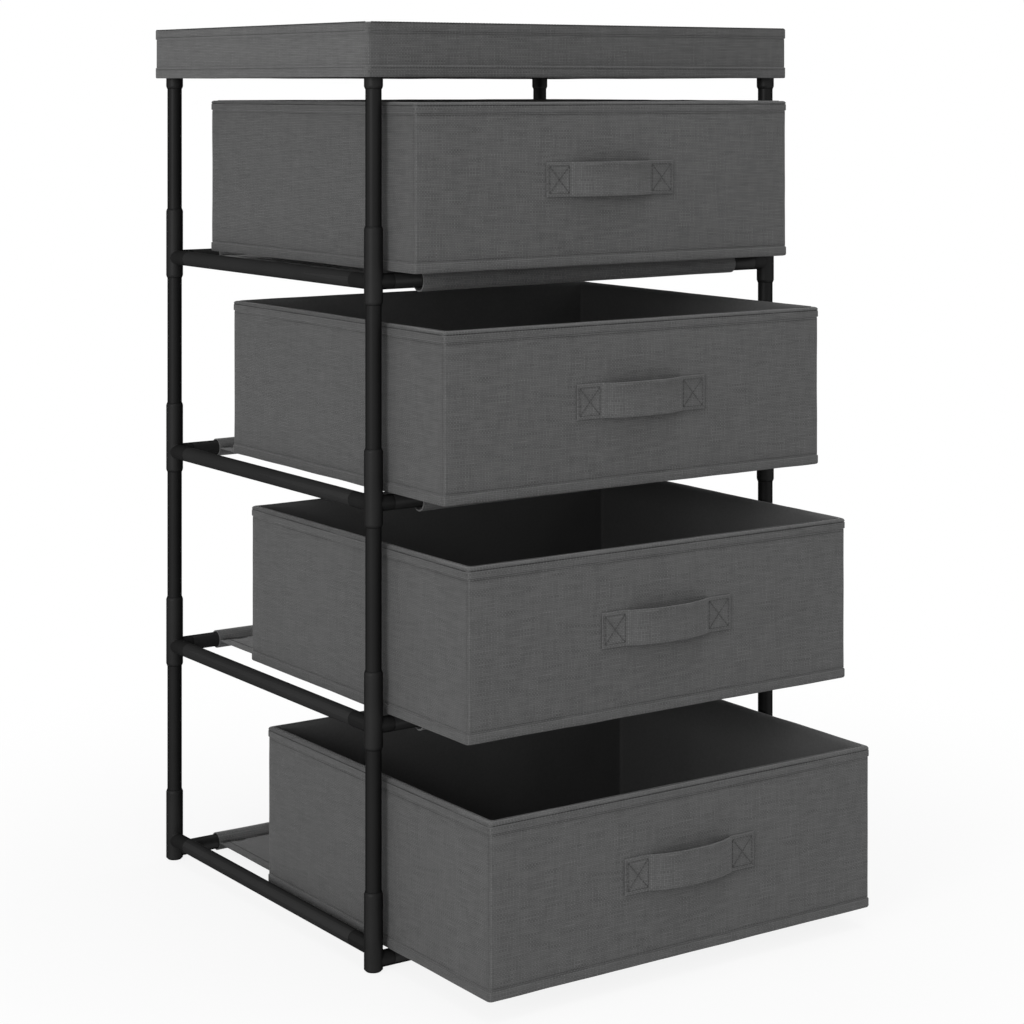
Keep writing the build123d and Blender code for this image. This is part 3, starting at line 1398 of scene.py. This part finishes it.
@dataclass(frozen=True)
class Lamp:
    """A soft square lamp that looks at the rack."""

    name: str
    place: tuple[float, float, float]
    size: float
    power: float
    aim: tuple[float, float, float] = (0.0, 0.0, 0.4)

    def hang(self) -> None:
        """Hangs the lamp in the scene."""
        data = bpy.data.lights.new(self.name, "AREA")
        data.shape = "SQUARE"
        data.size = self.size
        data.energy = self.power
        lamp = bpy.data.objects.new(self.name, data)
        bpy.context.scene.collection.objects.link(lamp)
        lamp.location = self.place
        aim = Vector(self.aim) - Vector(self.place)
        lamp.rotation_euler = aim.to_track_quat("-Z", "Y").to_euler()


@dataclass
class Studio:
    """The floor, the light and the camera."""

    camera_place: tuple[float, float, float] = (-1.2503, -1.8144, 0.716)
    camera_turn: float = 0.6035
    camera_lens: float = 86.77
    camera_shift: float = -0.4148
    camera_reach: tuple[float, float] = (0.05, 100.0)
    floor_size: float = 30.0
    floor_drop: float = 0.2 * MM
    floor_grey: float = 0.9
    floor_near: float = 0.25
    floor_far: float = 0.9
    shadow_share: float = 0.13
    ambient: float = 0.50
    lamps: tuple[Lamp, ...] = (
        Lamp("key", (-6.0, -2.5, 1.9), size=2.4, power=230),
        Lamp("top", (0.1, -0.5, 3.6), size=2.2, power=40),
    )

    def place_camera(self) -> None:
        """Sets the camera at the photograph's place, level and turned to the right."""
        data = bpy.data.cameras.new("camera")
        camera = bpy.data.objects.new("camera", data)
        bpy.context.scene.collection.objects.link(camera)
        camera.location = self.camera_place
        camera.rotation_euler = (math.pi / 2, 0, -self.camera_turn)
        data.lens = self.camera_lens
        data.shift_y = self.camera_shift
        data.clip_start, data.clip_end = self.camera_reach
        bpy.context.scene.camera = camera

    def lay_floor(self) -> None:
        """Lays a pale floor that is white where it is far away and keeps the rack's shadow."""
        leave_alone()
        place = (0, 0, -self.floor_drop)
        bpy.ops.mesh.primitive_plane_add(size=self.floor_size, location=place)
        floor = settle("floor")
        material, book = new_material("pale_floor")
        x, y = book.split(book.place())
        far = ((x * x + y * y) ** 0.5).between(self.floor_near, self.floor_far)
        share = self._seen(book) * (far * self.shadow_share + (1 - self.shadow_share))
        grey_paint = (self.floor_grey, self.floor_grey, self.floor_grey, 1.0)
        paint = book.add("ShaderNodeBsdfDiffuse", {"Color": grey_paint})
        white = book.add("ShaderNodeEmission", {"Color": WHITE, "Strength": 1.0})
        mixed = book.add("ShaderNodeMixShader", (share, paint, white))
        book.add("ShaderNodeOutputMaterial", {"Surface": mixed})
        floor.data.materials.append(material)

    @staticmethod
    def _seen(book: NodeBook) -> Link:
        """Finds the rays that show the background: straight, mirrored or through glass.

        Args:
            book: The nodes of the floor or of the world.

        Returns:
            1 for such a ray, 0 for others.
        """
        names = ("Is Camera Ray", "Is Glossy Ray", "Is Transmission Ray")
        straight, mirrored, through = (book.add("ShaderNodeLightPath", (), n) for n in names)
        return straight.larger(mirrored).larger(through)

    def light_world(self) -> None:
        """Sets a white surrounding that lights the rack evenly and softly."""
        world = bpy.data.worlds.new("studio")
        bpy.context.scene.world = world
        world.use_nodes = True
        book = NodeBook(world.node_tree)
        soft, white = (
            book.add("ShaderNodeBackground", {"Color": WHITE, "Strength": strength})
            for strength in (self.ambient, 1.0)
        )
        mixed = book.add("ShaderNodeMixShader", (self._seen(book), soft, white))
        book.add("ShaderNodeOutputWorld", {"Surface": mixed})

    def build(self) -> None:
        """Sets up the whole studio."""
        bpy.context.scene.view_settings.view_transform = "Standard"
        self.place_camera()
        self.lay_floor()
        self.light_world()
        for lamp in self.lamps:
            lamp.hang()


def main() -> None:
    """Builds the studio, the finishes and every piece, in order."""
    Studio().build()
    finishes = (
        SewingThread(Finish.THREAD),
        SewingThread(Finish.EDGE_THREAD, level=26),
        BlackLining(Finish.LINING),
        WovenFabric(Finish.BASKET, level=90),
        # The same basket cloth, darker for the sides: painted shade.
        WovenFabric(Finish.BASKET_SIDE, level=79),
        WovenFabric(Finish.COVER, level=87),
        # Lighter than the basket cloth: painted light that makes up for the shade on the shelves
        # under the baskets.
        WovenFabric(Finish.SHELF, level=103),
        PaintedTube(Finish.POST),
        # The same black paint as the posts, lighter on the rails: painted light from the left.
        PaintedTube(Finish.RAIL, level=54),
        MouldedPlastic(Finish.PLASTIC),
        GreyBoard(Finish.BOARD),
    )
    for finish in finishes:
        finish.make()
    Frame().finish()
    Cover().build()
    for number in BASKETS:
        ShelfSheet(number).build()
    Basket().build()


if __name__ == "__main__":
    main()
